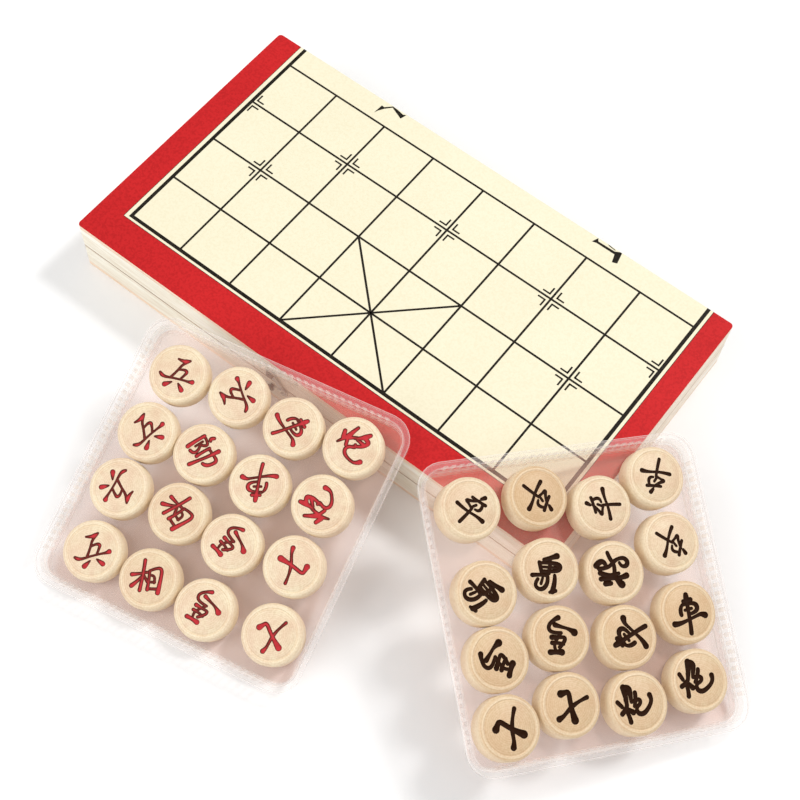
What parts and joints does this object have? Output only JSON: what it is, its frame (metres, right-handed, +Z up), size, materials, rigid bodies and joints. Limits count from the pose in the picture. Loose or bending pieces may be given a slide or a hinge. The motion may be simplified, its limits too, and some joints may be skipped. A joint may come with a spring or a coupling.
{
  "type": "folding xiangqi box set",
  "caption": "Folding wooden xiangqi box, closed, with half the board printed on its top, and two clear formed trays of turned wooden pieces leaning on its front edge.",
  "frame": {"origin": "centre of the outer face of the lower print sheet, on which the closed box stands", "axes": "+X along the river and hinge edge, +Y from the front to the hinges, +Z up through the upper printed face"},
  "size_m": [0.3869, 0.2941, 0.0681],
  "materials": {
    "case_wood": "pale, lightly lacquered",
    "panel_board": "thin board, sanded",
    "board_print": "printed film, cream and red, soft gloss",
    "clear_tray": "clear thermoformed sheet",
    "piece_wood": "turned, fine sanded",
    "fitting_steel": "plated, dulled"
  },
  "bodies": {
    "upper_case": {"upper_front_rail": "case_wood", "upper_back_rail": "case_wood", "upper_left_rail": "case_wood", "upper_right_rail": "case_wood", "upper_panel": "panel_board", "upper_print_sheet": "board_print", "upper_hinge_nails": "fitting_steel", "left_hinge_upper_leaf": "fitting_steel", "right_hinge_upper_leaf": "fitting_steel", "left_hinge_pin": "fitting_steel", "right_hinge_pin": "fitting_steel", "latch_pivot_nail": "fitting_steel"},
    "lower_case": {"lower_front_rail": "case_wood", "lower_back_rail": "case_wood", "lower_left_rail": "case_wood", "lower_right_rail": "case_wood", "lower_panel": "panel_board", "lower_print_sheet": "board_print", "lower_hinge_nails": "fitting_steel", "left_hinge_lower_leaf": "fitting_steel", "right_hinge_lower_leaf": "fitting_steel", "latch_stud_nail": "fitting_steel"},
    "latch": {"latch_hook": "fitting_steel"},
    "red_tray": {"red_tray": "clear_tray"},
    "black_tray": {"black_tray": "clear_tray"},
    "red_soldier_1": {"red_soldier_1": "piece_wood"},
    "red_soldier_2": {"red_soldier_2": "piece_wood"},
    "red_chariot_1": {"red_chariot_1": "piece_wood"},
    "red_cannon_1": {"red_cannon_1": "piece_wood"},
    "red_soldier_3": {"red_soldier_3": "piece_wood"},
    "red_general": {"red_general": "piece_wood"},
    "red_chariot_2": {"red_chariot_2": "piece_wood"},
    "red_cannon_2": {"red_cannon_2": "piece_wood"},
    "red_soldier_4": {"red_soldier_4": "piece_wood"},
    "red_elephant_1": {"red_elephant_1": "piece_wood"},
    "red_horse_1": {"red_horse_1": "piece_wood"},
    "red_advisor_1": {"red_advisor_1": "piece_wood"},
    "red_soldier_5": {"red_soldier_5": "piece_wood"},
    "red_elephant_2": {"red_elephant_2": "piece_wood"},
    "red_horse_2": {"red_horse_2": "piece_wood"},
    "red_advisor_2": {"red_advisor_2": "piece_wood"},
    "black_soldier_1": {"black_soldier_1": "piece_wood"},
    "black_soldier_2": {"black_soldier_2": "piece_wood"},
    "black_soldier_3": {"black_soldier_3": "piece_wood"},
    "black_soldier_4": {"black_soldier_4": "piece_wood"},
    "black_elephant_1": {"black_elephant_1": "piece_wood"},
    "black_elephant_2": {"black_elephant_2": "piece_wood"},
    "black_general": {"black_general": "piece_wood"},
    "black_soldier_5": {"black_soldier_5": "piece_wood"},
    "black_horse_1": {"black_horse_1": "piece_wood"},
    "black_horse_2": {"black_horse_2": "piece_wood"},
    "black_chariot_1": {"black_chariot_1": "piece_wood"},
    "black_chariot_2": {"black_chariot_2": "piece_wood"},
    "black_advisor_1": {"black_advisor_1": "piece_wood"},
    "black_advisor_2": {"black_advisor_2": "piece_wood"},
    "black_cannon_1": {"black_cannon_1": "piece_wood"},
    "black_cannon_2": {"black_cannon_2": "piece_wood"}
  },
  "joints": [
    {"name": "box_fold", "type": "hinge", "parent": "upper_case", "child": "lower_case", "pos_m": [0, 0.07664, 0.017], "axis": [1, 0, 0], "range_deg": [0, 180]},
    {"name": "latch_swing", "type": "hinge", "parent": "upper_case", "child": "latch", "pos_m": [-0.018, -0.07669, 0.024], "axis": [0, -1, 0], "range_deg": [-35, 55]},
    {"name": "red_tray_lift", "type": "slide", "parent": "upper_case", "child": "red_tray", "axis": [0, 0, 1], "range_m": [0, 0.08]},
    {"name": "black_tray_lift", "type": "slide", "parent": "upper_case", "child": "black_tray", "axis": [0, 0, 1], "range_m": [0, 0.08]},
    {"name": "red_soldier_1_lift", "type": "slide", "parent": "red_tray", "child": "red_soldier_1", "axis": [0.0616, -0.2899, 0.9551], "range_m": [0, 0.04]},
    {"name": "red_soldier_2_lift", "type": "slide", "parent": "red_tray", "child": "red_soldier_2", "axis": [0.0616, -0.2899, 0.9551], "range_m": [0, 0.04]},
    {"name": "red_chariot_1_lift", "type": "slide", "parent": "red_tray", "child": "red_chariot_1", "axis": [0.0616, -0.2899, 0.9551], "range_m": [0, 0.04]},
    {"name": "red_cannon_1_lift", "type": "slide", "parent": "red_tray", "child": "red_cannon_1", "axis": [0.0616, -0.2899, 0.9551], "range_m": [0, 0.04]},
    {"name": "red_soldier_3_lift", "type": "slide", "parent": "red_tray", "child": "red_soldier_3", "axis": [0.0616, -0.2899, 0.9551], "range_m": [0, 0.04]},
    {"name": "red_general_lift", "type": "slide", "parent": "red_tray", "child": "red_general", "axis": [0.0616, -0.2899, 0.9551], "range_m": [0, 0.04]},
    {"name": "red_chariot_2_lift", "type": "slide", "parent": "red_tray", "child": "red_chariot_2", "axis": [0.0616, -0.2899, 0.9551], "range_m": [0, 0.04]},
    {"name": "red_cannon_2_lift", "type": "slide", "parent": "red_tray", "child": "red_cannon_2", "axis": [0.0616, -0.2899, 0.9551], "range_m": [0, 0.04]},
    {"name": "red_soldier_4_lift", "type": "slide", "parent": "red_tray", "child": "red_soldier_4", "axis": [0.0616, -0.2899, 0.9551], "range_m": [0, 0.04]},
    {"name": "red_elephant_1_lift", "type": "slide", "parent": "red_tray", "child": "red_elephant_1", "axis": [0.0616, -0.2899, 0.9551], "range_m": [0, 0.04]},
    {"name": "red_horse_1_lift", "type": "slide", "parent": "red_tray", "child": "red_horse_1", "axis": [0.0616, -0.2899, 0.9551], "range_m": [0, 0.04]},
    {"name": "red_advisor_1_lift", "type": "slide", "parent": "red_tray", "child": "red_advisor_1", "axis": [0.0616, -0.2899, 0.9551], "range_m": [0, 0.04]},
    {"name": "red_soldier_5_lift", "type": "slide", "parent": "red_tray", "child": "red_soldier_5", "axis": [0.0616, -0.2899, 0.9551], "range_m": [0, 0.04]},
    {"name": "red_elephant_2_lift", "type": "slide", "parent": "red_tray", "child": "red_elephant_2", "axis": [0.0616, -0.2899, 0.9551], "range_m": [0, 0.04]},
    {"name": "red_horse_2_lift", "type": "slide", "parent": "red_tray", "child": "red_horse_2", "axis": [0.0616, -0.2899, 0.9551], "range_m": [0, 0.04]},
    {"name": "red_advisor_2_lift", "type": "slide", "parent": "red_tray", "child": "red_advisor_2", "axis": [0.0616, -0.2899, 0.9551], "range_m": [0, 0.04]},
    {"name": "black_soldier_1_lift", "type": "slide", "parent": "black_tray", "child": "black_soldier_1", "axis": [0.3256, 0, 0.9455], "range_m": [0, 0.04]},
    {"name": "black_soldier_2_lift", "type": "slide", "parent": "black_tray", "child": "black_soldier_2", "axis": [0.3256, 0, 0.9455], "range_m": [0, 0.04]},
    {"name": "black_soldier_3_lift", "type": "slide", "parent": "black_tray", "child": "black_soldier_3", "axis": [0.3256, 0, 0.9455], "range_m": [0, 0.04]},
    {"name": "black_soldier_4_lift", "type": "slide", "parent": "black_tray", "child": "black_soldier_4", "axis": [0.3256, 0, 0.9455], "range_m": [0, 0.04]},
    {"name": "black_elephant_1_lift", "type": "slide", "parent": "black_tray", "child": "black_elephant_1", "axis": [0.3256, 0, 0.9455], "range_m": [0, 0.04]},
    {"name": "black_elephant_2_lift", "type": "slide", "parent": "black_tray", "child": "black_elephant_2", "axis": [0.3256, 0, 0.9455], "range_m": [0, 0.04]},
    {"name": "black_general_lift", "type": "slide", "parent": "black_tray", "child": "black_general", "axis": [0.3256, 0, 0.9455], "range_m": [0, 0.04]},
    {"name": "black_soldier_5_lift", "type": "slide", "parent": "black_tray", "child": "black_soldier_5", "axis": [0.3256, 0, 0.9455], "range_m": [0, 0.04]},
    {"name": "black_horse_1_lift", "type": "slide", "parent": "black_tray", "child": "black_horse_1", "axis": [0.3256, 0, 0.9455], "range_m": [0, 0.04]},
    {"name": "black_horse_2_lift", "type": "slide", "parent": "black_tray", "child": "black_horse_2", "axis": [0.3256, 0, 0.9455], "range_m": [0, 0.04]},
    {"name": "black_chariot_1_lift", "type": "slide", "parent": "black_tray", "child": "black_chariot_1", "axis": [0.3256, 0, 0.9455], "range_m": [0, 0.04]},
    {"name": "black_chariot_2_lift", "type": "slide", "parent": "black_tray", "child": "black_chariot_2", "axis": [0.3256, 0, 0.9455], "range_m": [0, 0.04]},
    {"name": "black_advisor_1_lift", "type": "slide", "parent": "black_tray", "child": "black_advisor_1", "axis": [0.3256, 0, 0.9455], "range_m": [0, 0.04]},
    {"name": "black_advisor_2_lift", "type": "slide", "parent": "black_tray", "child": "black_advisor_2", "axis": [0.3256, 0, 0.9455], "range_m": [0, 0.04]},
    {"name": "black_cannon_1_lift", "type": "slide", "parent": "black_tray", "child": "black_cannon_1", "axis": [0.3256, 0, 0.9455], "range_m": [0, 0.04]},
    {"name": "black_cannon_2_lift", "type": "slide", "parent": "black_tray", "child": "black_cannon_2", "axis": [0.3256, 0, 0.9455], "range_m": [0, 0.04]}
  ]
}
